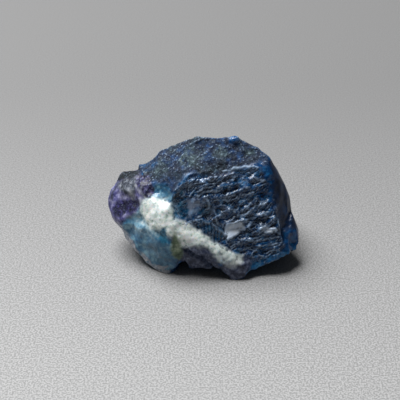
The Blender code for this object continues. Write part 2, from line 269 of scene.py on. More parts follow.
def in_outline(outline, soft=1.5):
    """1 on the seen faces inside an outline in photograph pixels, 0 outside, soft at the border."""
    corners = np.array(outline, float)
    nearest = np.full(len(points), np.inf)
    within = np.zeros(len(points), bool)
    for corner, end in zip(corners, np.roll(corners, -1, axis=0)):
        nearest = np.minimum(nearest, pixels_away(corner, end))
        spans = (corner[1] > bent_pixels[:, 1]) != (end[1] > bent_pixels[:, 1])
        lean = (end[0] - corner[0]) / (end[1] - corner[1] or 1)
        within ^= spans & (bent_pixels[:, 0] < corner[0] + (bent_pixels[:, 1] - corner[1]) * lean)
    inwards = np.where(within, nearest, -nearest)
    return seen * smooth_step(inwards, -soft, soft)


def on_lines(lines, half_width):
    """1 on lines traced on the seen faces, fading to 0 at a half width in photograph pixels."""
    nearest = np.full(len(points), np.inf)
    for line in lines:
        corners = np.array(line, float)
        for corner, end in zip(corners, corners[1:]):
            nearest = np.minimum(nearest, pixels_away(corner, end))
    return seen * np.clip(1 - nearest / half_width, 0, 1)


def any_of(*shares):
    return np.max(shares, axis=0)


def in_any(outlines, soft):
    return any_of(*[in_outline(outline, soft) for outline in outlines])


print("borders wander by up to", round(BORDER_WANDER * np.abs(wander).max(), 2), "mm")

# %% [markdown]
# The calcite seam is the clearest thing on the stone: a broad white patch at the left, which narrows
# to a grey toe at the bottom. In space it is a run of rods from the top left down to the front foot.
# On the front its border was traced, with a strip beside it where white fades into blue.

# %% Where the seam and its toe lie
SEAM_RODS = [
    ((-6.1, -3.2, 7.4), 1.0), ((-4.3, -4.4, 6.2), 1.3), ((-2.6, -5.4, 5.0), 1.2),
    ((0.9, -6.4, 3.2), 1.2), ((3.9, -7.0, 1.4), 1.2),
]
SEAM_OUTLINE = [
    (142, 200), (156, 197), (163, 200), (170, 203), (171.5, 212), (173, 219), (181, 220), (188, 223),
    (197, 229), (207, 236), (217, 243), (229, 249), (239, 254), (243, 257), (244, 262), (238, 266),
    (228, 266), (220, 262), (214, 256), (208, 248), (199, 245), (187, 247), (181, 248), (176, 239),
    (168, 236), (160, 231), (150, 229), (144, 220), (141, 210),
]
SEAM_EDGE_OUTLINE = [
    (139, 203), (147, 197), (156, 196), (150, 212), (155, 227), (163, 233), (160, 238), (149, 233),
    (141, 221),
]
MILKY_OUTLINE = [
    (127, 218), (135, 208), (142, 201), (150, 197), (158, 196), (167, 197), (174, 208), (176, 220),
    (168, 234), (154, 240), (142, 234), (132, 230),
]
WEDGE_OUTLINE = [
    (182, 249), (193, 246), (206, 244), (211, 251), (217, 260), (219, 270), (205, 271), (192, 269),
    (184, 264), (180, 257),
]
TOE_OUTLINE = [
    (221, 264), (230, 263), (240, 257), (248, 256), (252, 263), (247, 273), (236, 281), (224, 278),
]

seam_front = in_outline(SEAM_OUTLINE, 5)
seam_front = smooth_step(seam_front + 0.25 * fine_grains * (1 - seam_front), 0.10, 0.85)
seam = any_of(seam_front, along_rods(SEAM_RODS) * unseen)
towards_toe = smooth_step(bent_pixels[:, 0], 195, 240)
dark_specks = smooth_step(fine_grains, 0.15, 0.5)
calcite = seam * (1 - 0.30 * towards_toe) * (1 - (0.08 + 0.5 * towards_toe) * dark_specks)
print(f"the seam covers {seam.mean():.0%} of the stone")

# %% [markdown]
# The knob is a ball of lavender grains with two dark violet patches, a frosted middle and a dark crust
# on top. The lobe under it is pale blue glass with a darker window and a rim of pale grains. Olive
# grains fill the corner between the lobe and the seam.

# %% Where the knob and the lobe lie
KNOB_BALL = ((-9.2, 0.0, 6.3), (3.2, 4.8, 4.0))
KNOB_OUTLINE = [
    (136, 168), (141, 176), (141, 188), (144, 200), (136, 213), (126, 219), (118, 228), (104, 214),
    (104, 188), (116, 168),
]
VIOLET_OUTLINES = [
    [(113, 207), (117, 201), (127, 200), (134, 197), (140, 200), (140, 206), (136, 211), (127, 214),
     (121, 218), (114, 214)],
    [(136, 178), (139, 174), (148, 175), (152, 184), (154, 190), (152, 196), (147, 198), (141, 192),
     (137, 186)],
    [(130, 241), (134, 242), (136, 247), (132, 247)],
]
KNOB_CRUST_OUTLINE = [(112, 182), (118, 172), (128, 166), (139, 165), (140, 175), (133, 179), (122, 181)]
KNOB_FROST_OUTLINE = [(117, 183), (124, 179), (135, 177), (138, 186), (134, 196), (125, 194), (118, 190)]
PALE_STREAKS = [[(136, 186), (141, 193), (147, 200)], [(130, 190), (133, 198)]]
DARK_STREAKS = [[(123, 185), (124.5, 193)], [(111, 199), (113, 191), (117, 186)], [(141, 176), (152, 172)]]
LOBE_BALL = ((-6.6, -3.4, 2.6), (4.3, 4.6, 3.6))
LOBE_OUTLINE = [
    (119, 228), (127, 217), (137, 215), (147, 214), (152, 228), (161, 232), (170, 236), (173, 246),
    (172, 256), (176, 262), (168, 275), (152, 271), (138, 259), (127, 243),
]
LOBE_WINDOW_OUTLINE = [(160, 230), (164, 228), (167, 233), (167, 242), (164, 248), (160, 245), (158, 238)]
LOBE_GRAINS_OUTLINE = [(143, 248), (150, 243), (160, 249), (169, 252), (170, 262), (160, 264), (149, 258)]
LOBE_RIM_OUTLINE = [
    (117, 224), (124, 229), (130, 238), (136, 247), (145, 257), (156, 265), (170, 268), (170, 276),
    (150, 273), (130, 252), (118, 232),
]
OLIVE_OUTLINE = [
    (174, 233), (179, 238), (182, 248), (184, 254), (179, 260), (173, 257), (170, 251), (172, 242),
]

knob = any_of(in_ball(*KNOB_BALL) * unseen, in_outline(KNOB_OUTLINE, 2))
lobe = any_of(in_ball(*LOBE_BALL) * unseen, in_outline(LOBE_OUTLINE, 2.5))
violet_grains = soft_noise(points, 2.2, 51) + 0.5 * soft_noise(points, 0.9, 57)
violet_behind = knob * unseen * smooth_step(violet_grains, 0.05, 0.3)
print(f"the knob covers {knob.mean():.0%} and the lobe {lobe.mean():.0%} of the stone")

# %% [markdown]
# The broad face is where the blue crystal split. Its longest ridges were traced, and they also carry
# painted highlight. So were the flat facets that mirror the room, whose mirrored light is a painted
# reflection: a lilac one in the middle, a grey one at the left and a small glint, a painted highlight,
# at the right. Teal glass and an oval of fine stripes lie between them and the seam.

# %% Where the marks of the broad face lie
FACE_OUTLINE = [
    (172, 222), (171, 196), (178, 184), (187, 173), (213, 177), (240, 170), (264, 160), (267, 184),
    (280, 222), (284, 254), (262, 268), (246, 258), (230, 250), (212, 241), (195, 230),
]
FACE_RIDGES = [
    [(224, 171), (234, 168), (247, 166.5), (257, 168)],
    [(249, 172), (256, 178), (265, 182)],
    [(207, 188), (214, 185.5), (225, 182), (233, 179), (235, 172)],
    [(229, 188), (226.5, 195), (226, 200), (230, 202.5)],
    [(227, 198), (238, 195), (247, 195), (254, 192)],
    [(232, 211), (243, 210), (250, 203.5), (257, 198)],
    [(238, 217), (250, 212), (258, 205), (265, 203)],
    [(228, 226), (238, 221.5), (247, 219), (259, 216), (268, 213)],
    [(258, 229), (267, 227), (275, 230), (280, 234)],
    [(249, 241), (259, 240), (270, 238.5), (279, 237)],
    [(258, 247), (270, 245), (277, 244)],
    [(186, 223), (195, 221), (204, 221), (214, 225), (221, 231), (226, 236)],
    [(198, 218), (206, 211.5), (210, 206), (207, 200)],
    [(214, 210), (215, 217), (219, 224)],
    [(190, 185), (199, 181), (209, 180), (217, 176)],
    [(196, 196), (205, 192), (214, 192), (222, 189)],
]
LILAC_FACET_OUTLINE = [(224, 228), (233, 222), (243, 223), (245, 229), (236, 236), (228, 239), (224, 235)]
GREY_FACET_OUTLINE = [(187, 200), (198, 196), (206, 201), (203, 208), (196, 213), (188, 218)]
SMALL_FACET_OUTLINE = [(218, 212), (224, 207), (229, 209), (227, 215), (220, 218)]
GLINT_OUTLINE = [(261, 228), (267, 226), (274, 227), (278, 231), (272, 233), (264, 232)]
TEAL_OUTLINE = [
    (170, 200), (173, 194), (177, 188), (183, 191), (187, 202), (188, 217), (183, 219), (175, 218),
    (171, 211),
]
LENS_OUTLINE = [(198, 213), (206, 204), (213, 205), (213, 212), (205, 216)]
STRIPED_OVAL_OUTLINE = [
    (196, 221), (207, 219), (216, 223), (223, 230), (225, 238), (218, 242), (209, 238), (201, 231),
]

face = in_outline(FACE_OUTLINE, 4)
# The traced ridges are raised a little, and they also get painted highlight along them.
ridges = on_lines(FACE_RIDGES, 1.7) * smooth_step(fine_grains + 0.4 * broad_grains, -0.7, 0.3)
oval = in_outline(STRIPED_OVAL_OUTLINE, 1.5)
lilac_facet = in_outline(LILAC_FACET_OUTLINE, 1)
glint = in_outline(GLINT_OUTLINE, 1)
# Painted reflection: the lilac, grey and small facets get a pale colour for the room light they mirror, and
# the glint is a painted highlight.
painted_facet_light = any_of(
    0.32 * in_outline(GREY_FACET_OUTLINE, 2), 0.25 * in_outline(SMALL_FACET_OUTLINE, 2), 0.9 * glint,
)
print(f"the broad face covers {face.mean():.0%} of the stone, with {len(FACE_RIDGES)} traced ridges")

# %% [markdown]
# The top slope is worn: dull blue under a grey-green crust that is palest in a few patches. Light blue
# glass shows over the seam, and the corner beside the knob is worn dark. Edges thin enough for light to
# come through get a painted glow of bright blue, and the steep right side is painted navy, almost black,
# as painted shade.

# %% Where the marks of the slope and the edges lie
PALE_CRUST_OUTLINES = [
    [(176, 160), (180, 152), (193, 146), (206, 148), (204, 158), (192, 166), (182, 170)],
    [(214, 146), (228, 148), (233, 155), (222, 160), (212, 156)],
    [(199, 136), (212, 135), (213, 142), (202, 143)],
    [(243, 148), (254, 148), (257, 155), (246, 157)],
    [(152, 166), (166, 158), (172, 162), (164, 172), (154, 174)],
]
LIGHT_BLUE_OUTLINE = [(150, 196), (154, 187), (160, 184), (168, 188), (172, 200), (165, 201), (156, 198)]
CORNER_OUTLINE = [(132, 166), (136, 159), (154, 151), (158, 165), (153, 170), (144, 171), (136, 171)]
# Painted glow: bright blue painted where light comes through thin glass, which also lets some light through.
PAINTED_GLOW_OUTLINES = [
    [(251, 183), (260, 185), (271, 191), (273, 201), (265, 200), (257, 194), (251, 190)],
    [(259, 243), (268, 241), (269, 251), (260, 254)],
    [(228, 133), (237, 133), (238, 143), (229, 143)],
    [(264, 168), (269, 167), (274, 180), (271, 186), (266, 180)],
    [(283, 234), (297, 228), (300, 244), (292, 250), (284, 250)],
]
THIN_EDGE_GLOW_OUTLINE = [
    (246, 264), (254, 260), (273, 256), (292, 250), (300, 244), (300, 254), (280, 262), (265, 268),
    (255, 275), (247, 274),
]
# Painted shade: the steep right side, turned from the soft box, gets a darker navy copy of the blue.
SHADED_NAVY_OUTLINE = [
    (266, 158), (276, 160), (288, 184), (294, 200), (302, 222), (302, 246), (281, 250), (280, 236),
    (280, 222), (274, 202), (270, 184),
]

facing_up = smooth_step(normals[:, 2], 0.30, 0.65)
right_side = smooth_step(normals[:, 0], 0.45, 0.75) * smooth_step(points[:, 0], 5.5, 7.5)
slope = facing_up * (1 - face) * (1 - right_side) * (1 - smooth_step(points[:, 0], 8.6, 9.4))
right_of_slope = seen * smooth_step(bent_pixels[:, 0], 232, 248)
crusted = 0.85 * slope * smooth_step(broad_grains, -0.30, 0.50) * (1 - 0.7 * right_of_slope)
print(f"the slope covers {slope.mean():.0%} of the stone")

# %% [markdown]
# Each mineral now gets its share of every point. They are listed in the order in which the material
# lays them over the blue glass, so a later one hides an earlier one where both are full. The number
# after an outline is the softness of its border in photograph pixels, and one before it thins the
# mineral out. Noise breaks up the shares of those that grow as loose grains.

# %% Share out the minerals
# Besides the minerals, some shares are painted light: painted reflection on flat facets, painted glow at
# thin edges and painted shade on the steep right side.
minerals_and_painted_light = {
    "worn_blue": slope,
    "shaded_navy": any_of(right_side * unseen, in_outline(SHADED_NAVY_OUTLINE, 2.5)),
    "painted_reflection": any_of(0.92 * lilac_facet, painted_facet_light * smooth_step(fine_grains, -0.9, 0.1)),
    "teal": any_of(in_outline(TEAL_OUTLINE, 2), in_outline(LENS_OUTLINE, 1), 0.5 * oval),
    "painted_glow": 0.9 * in_any(PAINTED_GLOW_OUTLINES, 2.5),
    "thin_edge_painted_glow": in_outline(THIN_EDGE_GLOW_OUTLINE, 2),
    "crust": crusted,
    "pale_crust": in_any(PALE_CRUST_OUTLINES, 3) * smooth_step(fine_grains + 0.5 * broad_grains, -0.6, 0.6),
    "pale_blue": any_of(lobe, in_outline(LIGHT_BLUE_OUTLINE, 3)),
    "worn_corner": in_outline(CORNER_OUTLINE, 3),
    "milky": any_of(
        in_outline(MILKY_OUTLINE, 7) * smooth_step(broad_grains + 0.4 * fine_grains, -0.9, 0.5),
        0.25 * in_outline(LOBE_GRAINS_OUTLINE, 7), 0.12 * in_outline(TOE_OUTLINE, 3),
        0.9 * in_outline(SEAM_EDGE_OUTLINE, 3.5),
    ),
    "lavender": knob,
    "frosted": in_outline(KNOB_FROST_OUTLINE, 2.5),
    "knob_crust": any_of(in_outline(KNOB_CRUST_OUTLINE, 2), 0.9 * on_lines(DARK_STREAKS, 2)),
    "violet": any_of(violet_behind, in_any(VIOLET_OUTLINES, 1.2)),
    "dusky": any_of(in_outline(WEDGE_OUTLINE), in_outline(TOE_OUTLINE)),
    "calcite": calcite,
    "olive": any_of(in_outline(OLIVE_OUTLINE, 2), 0.12 * in_outline(LOBE_GRAINS_OUTLINE, 2)),
    "window": in_outline(LOBE_WINDOW_OUTLINE, 1.5),
    "pale_grains": any_of(
        in_outline(LOBE_RIM_OUTLINE, 1.5) * smooth_step(fine_grains, -0.8, 0.0),
        0.5 * on_lines(PALE_STREAKS, 2.5),
    ),
}
for name, share in minerals_and_painted_light.items():
    print(f"{name}: {share.mean():.0%} of the surface")

# %% [markdown]
# Fine relief comes next. The solid has the big steps of the broad face. Between them the crystal broke
# in narrow steps and in shells that are longer than they are wide, and both climb to the right. How
# steeply they climb changes from band to band up the face, and the shells are deep in some spots only.

# %% Break the broad face
# each band: its middle and its reach along and up the face, pitch of its steps, climb in degrees, rise
FINE_BANDS = [
    ((3.6, 1.6), (5.6, 2.3), 0.52, 12, 0.0975),
    ((5.2, -2.0), (4.4, 2.5), 0.55, 31, 0.12),
    ((5.4, -5.3), (4.8, 1.7), 0.46, 13, 0.09),
    ((-1.0, 1.2), (2.2, 2.0), 0.50, 38, 0.075),
]
BAND_EDGE = (0.75, 1.15)
FACE_MIDDLE = np.array((-0.25, -4.95, 8.5))
FACE_ALONG = np.array((0.995, 0.104, 0.0))
FACE_UP = np.array((-0.041, 0.395, 0.918))
FACE_BEND = 0.6
FINE_LANE = (1.7, 0.8)
SHELL = (1.05, 0.55, ENDLESS)
SHELL_DEPTH = 0.27
HACKLE_DEPTH = 0.24
BOWL_MIDDLE = 0.45
STEP_MIDDLE = 0.35
STEP_SEED = 30
SHELL_SEED = 40

along = (points - FACE_MIDDLE) @ FACE_ALONG
up = (points - FACE_MIDDLE) @ FACE_UP
shell_strength = 0.35 + 0.75 * smooth_step(soft_noise(points, 1.7, 99), -0.45, 0.35)
fine_steps = np.zeros(len(points))
for number, (middle, reach, pitch, climb, rise) in enumerate(FINE_BANDS):
    far = np.hypot((along - middle[0]) / reach[0], (up - middle[1]) / reach[1])
    here = 1 - smooth_step(far, *BAND_EDGE)
    flat = turned(along, up, climb, FACE_BEND)
    fine_steps += here * rise * (terraces(flat, pitch, FINE_LANE, STEP_SEED + number) - STEP_MIDDLE)
    shells = scallops(flat, SHELL, 1.0, SHELL_SEED + number) - BOWL_MIDDLE
    fine_steps += here * SHELL_DEPTH * shell_strength * shells
hackles = HACKLE_DEPTH * (scallops(points, (1.0, 0.9, 0.8), 1.0, 71) - BOWL_MIDDLE)
face_height = fine_steps + hackles + 0.02 * soft_noise(points, 0.25, 3)
print("steps and shells run from", round(fine_steps.min(), 2), "to", round(fine_steps.max(), 2), "mm")

# %% [markdown]
# Every other kind of ground breaks in its own way: rough bowls behind, long shallow pits on the slope,
# sugary grains on the seam and toe, lumps on the knob and lobe. Each is a sum of coarse and fine
# patterns: the number in front is a depth in mm, and the size in mm follows the points. The grounds are
# laid over each other by their shares, as the minerals are. The flat facets lean back a little, because
# that is why they catch the light.

# %% Break the other grounds
RIDGE_RISE = 0.13
FACET_LEAN = 0.20
STRIPE_PITCH = 0.38
STRIPE_DEPTH = 0.03
SLOPE_CLIMB = 24
SLOPE_BEND = 0.5
SLOPE_SHELL = (1.7, 0.55, ENDLESS)

rough = 0.22 * (scallops(points, (1.3, 1.3, 1.1), 1.0, 73) - BOWL_MIDDLE)
rough += 0.07 * (scallops(points, (0.5, 0.5, 0.45), 0.8, 75) - BOWL_MIDDLE)
streaks = turned(points[:, 0], points[:, 1], SLOPE_CLIMB, SLOPE_BEND)
pitted = 0.16 * (scallops(streaks, SLOPE_SHELL, 1.0, 79) - BOWL_MIDDLE)
pitted += 0.08 * (scallops(points, (0.8, 0.7, 0.6), 0.9, 77) - BOWL_MIDDLE)
pitted += 0.05 * soft_noise(points, 0.3, 81) + 0.04 * soft_noise(points, 0.16, 83)
sugary = 0.06 * soft_noise(points, 0.45, 85) + 0.04 * (0.5 - scallops(points, (0.4, 0.4, 0.4), 0.5, 87))
knobbly = 0.16 * (0.5 - scallops(points, (0.9, 0.9, 0.8), 0.5, 89)) + 0.03 * soft_noise(points, 0.25, 91)
glassy_lumps = 0.24 * (scallops(points, (1.3, 1.1, 1.0), 1.0, 93) - BOWL_MIDDLE)
glassy_lumps += 0.04 * soft_noise(points, 0.3, 95)
flat_facets = in_any((GREY_FACET_OUTLINE, LILAC_FACET_OUTLINE), 3)
lilac_tilt = FACET_LEAN * (np.average(up, weights=lilac_facet) - up)
glint_tilt = FACET_LEAN * (np.average(up, weights=glint) - up)
bent_along = along * 2 * math.pi / STRIPE_PITCH + 2 * soft_noise(points, 1.0, 97)
layers = [
    (facing_up, pitted), (face, face_height), (flat_facets, 0.3 * hackles), (right_side, 0.12 * rough),
    (oval, 0.3 * hackles + STRIPE_DEPTH * np.sin(bent_along)), (lilac_facet, lilac_tilt),
    (glint, glint_tilt), (minerals_and_painted_light["pale_blue"], glassy_lumps), (knob, knobbly), (calcite, sugary),
    (minerals_and_painted_light["dusky"], 0.8 * sugary + 0.3 * hackles),
]
height = rough
for share, layer in layers:
    height = height + share * (layer - height)
height += RIDGE_RISE * ridges
print("fine relief runs from", round(height.min(), 2), "to", round(height.max(), 2), "mm")

# %% [markdown]
# The stone rests on the floor, so its foot stays flat: the relief fades out just above the ground, and
# nothing may dip below it. Calcite is softer than the blue glass and worn rounder, so the seam is first
# smoothed by moving its points towards their neighbours. Then all points move along their normals.

# %% Move the points
FOOT_FADE = (0.02, 0.35)
SEAM_ROUNDS = 24
SEAM_STEP = 0.5

edges = np.empty(len(even.edges) * 2, np.int32)
even.edges.foreach_get("vertices", edges)
first, second = edges.reshape(-1, 2).T
count = np.bincount(first, minlength=len(points)) + np.bincount(second, minlength=len(points))


def middle_of_neighbours(places):
    """The middle of the points that each point shares an edge with."""
    around = np.zeros_like(places)
    for axis in range(3):
        around[:, axis] += np.bincount(first, places[second, axis], len(places))
        around[:, axis] += np.bincount(second, places[first, axis], len(places))
    return around / count[:, None]


above_foot = smooth_step(points[:, 2], *FOOT_FADE)
softened = (SEAM_STEP * seam * above_foot)[:, None]
moved = points.copy()
for _ in range(SEAM_ROUNDS):
    moved += softened * (middle_of_neighbours(moved) - moved)
moved += (height * above_foot)[:, None] * normals
moved = np.clip(moved, np.array(solid_low) / MM, np.array(solid_high) / MM)
even.vertices.foreach_set("co", (moved * MM).astype(np.float32).ravel())
even.update()
even.polygons.foreach_set("use_smooth", [True] * len(even.polygons))
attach(stone, "root")
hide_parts("afghanite")
print("points moved by up to", round(np.linalg.norm(moved - points, axis=1).max(), 2), "mm")

# %% [markdown]
# How far a point stands proud of its neighbours tells where the crests and the hollows are. White along
# the crests is painted highlight and dark in the hollows is painted shade. A third share places painted
# glints, pale lines and specks: all over the broad face, less on the slope, and hardly at all on flat
# facets. These three and the minerals' shares are kept on the mesh, where the material can read them.

# %% Find the crests and keep all shares on the mesh
CREST_HIGHLIGHT_SPAN = (0.014, 0.034)
HOLLOW_SHADE_SPAN = (0.003, 0.017)

fresh_normals = read_points(even, even.vertex_normals, "vector")
proud = ((moved - middle_of_neighbours(moved)) * fresh_normals).sum(1)
# Painted highlight: white laid along the crests and the traced ridges.
crest_highlights = smooth_step(proud, *CREST_HIGHLIGHT_SPAN) * (0.15 + 0.72 * face + 0.36 * slope)
glint_places = any_of(in_outline(FACE_OUTLINE, 5), 0.40 * slope, 0.4 * lobe, 0.4 * minerals_and_painted_light["violet"])
painted_light_shares = {
    "painted_crest_highlight": any_of(crest_highlights, 0.60 * ridges),
    "painted_glints": glint_places * (1 - 0.8 * lilac_facet) * (1 - 0.6 * minerals_and_painted_light["painted_glow"]),
    # Painted shade: dark laid in the hollows between crests, where shade would fall.
    "painted_hollow_shade": smooth_step(-proud, *HOLLOW_SHADE_SPAN) * (0.4 + 0.6 * face + 0.4 * slope),
}
for name, share in (minerals_and_painted_light | painted_light_shares).items():
    field = even.attributes.new(name, "FLOAT", "POINT")
    field.data.foreach_set("value", share.astype(np.float32))
for name, share in painted_light_shares.items():
    print(f"{name}: {share.mean():.0%} of the surface")

# %% [markdown]
# Colours are written as the sRGB hex values that the eye would pick, and turned to linear ones for the
# shader. Every node of every material is made by one function, which sets it up and links it.

# %% A colour from hex, and one function that adds a node
def linear(code):
    """Linear RGBA of an sRGB hex colour."""
    parts = [int(code[place:place + 2], 16) / 255 for place in (0, 2, 4)]
    return (*[part / 12.92 if part <= 0.04045 else ((part + 0.055) / 1.055) ** 2.4 for part in parts], 1)


def add_node(tree, kind, inputs=None, stops=None, **settings):
    """Adds a node with its settings, and fills each input with a value or another node's output."""
    made = tree.nodes.new("ShaderNode" + kind)
    for name, value in settings.items():
        setattr(made, name, value)
    for name, value in (inputs or {}).items():
        if isinstance(value, bpy.types.NodeSocket):
            tree.links.new(value, made.inputs[name])
        else:
            made.inputs[name].default_value = value
    for number, (place, code) in enumerate(stops or []):
        elements = made.color_ramp.elements
        element = elements[number] if number < 2 else elements.new(place)
        element.position = place
        element.color = linear(code)
    return made


print("middle grey 808080 is", round(linear("808080")[0], 3), "in linear light")

# %% [markdown]
# The minerals' recipes. Afghanite and calcite are both clear when pure, so roughness, the share of
# light that goes through and the soft scatter inside say how clouded each one is. A fresh break in
# glassy crystal is almost a mirror, at a roughness near 0.1. Worn crust is dull, near 0.9. The broken
# calcite lies between them, and light scatters inside its grains, which makes it a soft, even white.

# %% The minerals' recipes
# dark, middle and light colour, grain in mm, roughness, light let through, scatter inside
BLUE_GLASS = ("051A3A", "134478", "367AB0", 0.9, 0.07, 0.22, 0.0)
RECIPES = {
    # the same blue crystal, worn dull, in deep shade as painted shade, as a painted reflection, thin, or as
    # a painted glow where thin enough for light to come through
    "worn_blue": ("040D1E", "091E3C", "1A4474", 0.9, 0.88, 0.10, 0.0),
    "shaded_navy": ("08182E", "0F284C", "1A4270", 1.5, 0.36, 0.20, 0.0),
    "painted_reflection": ("B4C4DC", "D0DEF0", "EEF5FC", 0.7, 0.26, 0.05, 0.1),
    "teal": ("0C2C4A", "1A5C8A", "3F8CB4", 0.8, 0.10, 0.30, 0.1),
    "painted_glow": ("0A3468", "11589A", "2A84C6", 0.8, 0.10, 0.40, 0.1),
    "thin_edge_painted_glow": ("144A78", "2470AC", "50A0D4", 0.6, 0.12, 0.40, 0.1),
    # weathered grains on the slope, dull and nearly opaque
    "crust": ("070D14", "101C25", "344A54", 0.6, 0.90, 0.05, 0.0),
    "pale_crust": ("16262E", "32464E", "6C8086", 0.35, 0.85, 0.05, 0.0),
    # pale blue glass of the lobe, the worn corner beside the knob, and milk where calcite mixes in
    "pale_blue": ("22567A", "4482AA", "96C6D8", 0.9, 0.14, 0.20, 0.2),
    "worn_corner": ("04142A", "08294A", "1A5280", 0.6, 0.90, 0.20, 0.0),
    "milky": ("5488A6", "8CB4C6", "D4E4E8", 0.6, 0.35, 0.10, 0.4),
    # the knob: lavender grains, their frosted middle, the dark crust on top and the violet patches
    "lavender": ("2A2E60", "605F90", "A0A0C0", 0.8, 0.30, 0.10, 0.3),
    "frosted": ("181E2C", "3C424E", "888C96", 0.4, 0.80, 0.05, 0.1),
    "knob_crust": ("02060A", "080E16", "1C2830", 0.4, 0.90, 0.05, 0.0),
    "violet": ("060420", "18143E", "423E7A", 0.4, 0.48, 0.15, 0.0),
    # the dark wedge and toe, the white seam, and the small patches at the lobe
    "dusky": ("222A42", "464E68", "8088A0", 0.5, 0.26, 0.10, 0.0),
    "calcite": ("B4C8C2", "F2FCF6", "FBFFFF", 0.35, 0.50, 0.0, 0.8),
    "olive": ("445648", "708668", "ACB89E", 0.6, 0.38, 0.10, 0.1),
    "window": ("225A7C", "388AB0", "5CA6C8", 0.6, 0.15, 0.30, 0.0),
    "pale_grains": ("7C8494", "B0B4BC", "D8D4D0", 0.4, 0.35, 0.10, 0.3),
}
print(len(RECIPES) + 1, "minerals have recipes")

# %% [markdown]
# One material covers the stone, because its minerals grow into each other. It is built as a chain: the
# blue glass first, then each mineral laid over what is there by its share. A mineral's colour is noise
# of its own grain size, run through its three colours. Roughness, the light let through and the
# scatter are blended in the same chain, so gloss changes with the mineral too.

# %% Chain the minerals
PATCH_STOPS = (0.34, 0.50, 0.66)
PATCH_DETAIL = 5.0

material = bpy.data.materials.new("afghanite_with_calcite_freshly_broken")
material.use_nodes = True
tree = material.node_tree
tree.nodes.clear()
place = add_node(tree, "TexCoord").outputs["Object"]
in_mm = add_node(tree, "Mapping", {"Vector": place, "Scale": (1 / MM,) * 3}).outputs["Vector"]


def laid_over(share, under, over):
    """One colour over another by a share."""
    return add_node(tree, "Mix", {0: share, 6: under, 7: over}, data_type="RGBA").outputs[2]


def patches(recipe, number):
    """Colour of one mineral: noise of its grain size through its three colours.

    Its number shifts the noise, so that no two minerals share a pattern.
    """
    shift = (number * 7.3, number * 3.1, number * 5.7)
    shifted = add_node(tree, "VectorMath", {0: in_mm, 1: shift}).outputs[0]
    fields = {"Vector": shifted, "Scale": 1 / recipe[3], "Detail": PATCH_DETAIL, "Roughness": 0.65}
    cloud = add_node(tree, "TexNoise", fields).outputs["Fac"]
    stops = list(zip(PATCH_STOPS, recipe[:3]))
    return add_node(tree, "ValToRGB", {"Fac": cloud}, stops).outputs["Color"]


colour = patches(BLUE_GLASS, 1)
levels = list(BLUE_GLASS[4:])
for number, (name, recipe) in enumerate(RECIPES.items(), start=2):
    share = add_node(tree, "Attribute", attribute_name=name).outputs["Fac"]
    colour = laid_over(share, colour, patches(recipe, number))
    for slot, value in enumerate(recipe[4:]):
        levels[slot] = add_node(tree, "Mix", {0: share, 2: levels[slot], 3: value}).outputs[0]
print("the chain has", len(tree.nodes), "nodes")

# %% [markdown]
# Pale lines where small shells meet, and pale specks, are painted glints: light that tiny edges and
# chips would catch. Cells of noise give the lines: their borders, stretched along the climb of the face
# and bent by a swirl. Real chips and grit are a few hundredths of a millimetre, finer than a pixel of the
# render, so the specks are drawn four or five times as coarse, which is the finest that still shows.

# %% Painted glints: thin lines and specks
SWIRL_SIZE = 1.3
SWIRL_REACH = 1.6
WIDE_SHELL = (1.5, 0.8, 0.55)
FINE_SHELL = (0.8, 0.6, 0.42)
LINE_SPOTS = (0.46, 0.64)
LINE_POWER = 2.5
GLINT_SPECK_SIZE = 0.16
GLINT_SPECK_SPAN = (0.62, 0.70)
GLINT_SPECK_STRENGTH = 0.45

swirl = add_node(tree, "TexNoise", {"Vector": in_mm, "Scale": 1 / SWIRL_SIZE, "Detail": 2.0})
fields = {0: swirl.outputs["Color"], 1: (SWIRL_REACH,) * 3, 2: in_mm}
swirled = add_node(tree, "VectorMath", fields, operation="MULTIPLY_ADD").outputs[0]


def painted_highlight_lines(size, climb, width, strength):
    """Thin lines of painted highlight where small shell breaks meet, longer along the climb, strong only in
    some spots.
    """
    fields = {"Vector": swirled, "Rotation": (0, -math.radians(climb), 0), "Scale": size}
    on_climb = add_node(tree, "Mapping", fields, vector_type="TEXTURE").outputs["Vector"]
    cells = add_node(tree, "TexVoronoi", {"Vector": on_climb, "Scale": 1.0}, feature="DISTANCE_TO_EDGE")
    fields = {"Value": cells.outputs["Distance"], "From Max": width, "To Min": strength, "To Max": 0.0}
    line = add_node(tree, "MapRange", fields).outputs[0]
    spots = add_node(tree, "TexNoise", {"Vector": on_climb, "Scale": 0.6, "Detail": 1.0}).outputs["Fac"]
    fields = {"Value": spots, "From Min": LINE_SPOTS[0], "From Max": LINE_SPOTS[1]}
    shown = add_node(tree, "MapRange", fields).outputs[0]
    return add_node(tree, "Math", {0: line, 1: shown}, operation="MULTIPLY").outputs[0]


# Painted glints: pale lines and specks, laid in the highlight colour.
painted_glints = add_node(tree, "Attribute", attribute_name="painted_glints").outputs["Fac"]
wide_lines = painted_highlight_lines(WIDE_SHELL, climb=22, width=0.08, strength=0.60)
fine_lines = painted_highlight_lines(FINE_SHELL, climb=30, width=0.10, strength=0.42)
lines = add_node(tree, "Math", {0: wide_lines, 1: fine_lines}, operation="MAXIMUM").outputs[0]
line_share = add_node(tree, "Math", {0: painted_glints, 1: LINE_POWER}, operation="POWER").outputs[0]
lines = add_node(tree, "Math", {0: lines, 1: line_share}, operation="MULTIPLY").outputs[0]
speck_noise = add_node(tree, "TexNoise", {"Vector": in_mm, "Scale": 1 / GLINT_SPECK_SIZE, "Detail": 1.0}).outputs["Fac"]
fields = {"Value": speck_noise, "From Min": GLINT_SPECK_SPAN[0], "From Max": GLINT_SPECK_SPAN[1], "To Max": GLINT_SPECK_STRENGTH}
specks = add_node(tree, "MapRange", fields).outputs[0]
specks = add_node(tree, "Math", {0: specks, 1: painted_glints}, operation="MULTIPLY").outputs[0]
painted_highlight_marks = add_node(tree, "Math", {0: lines, 1: specks}, operation="MAXIMUM").outputs[0]
print("lines and dust bring it to", len(tree.nodes), "nodes")

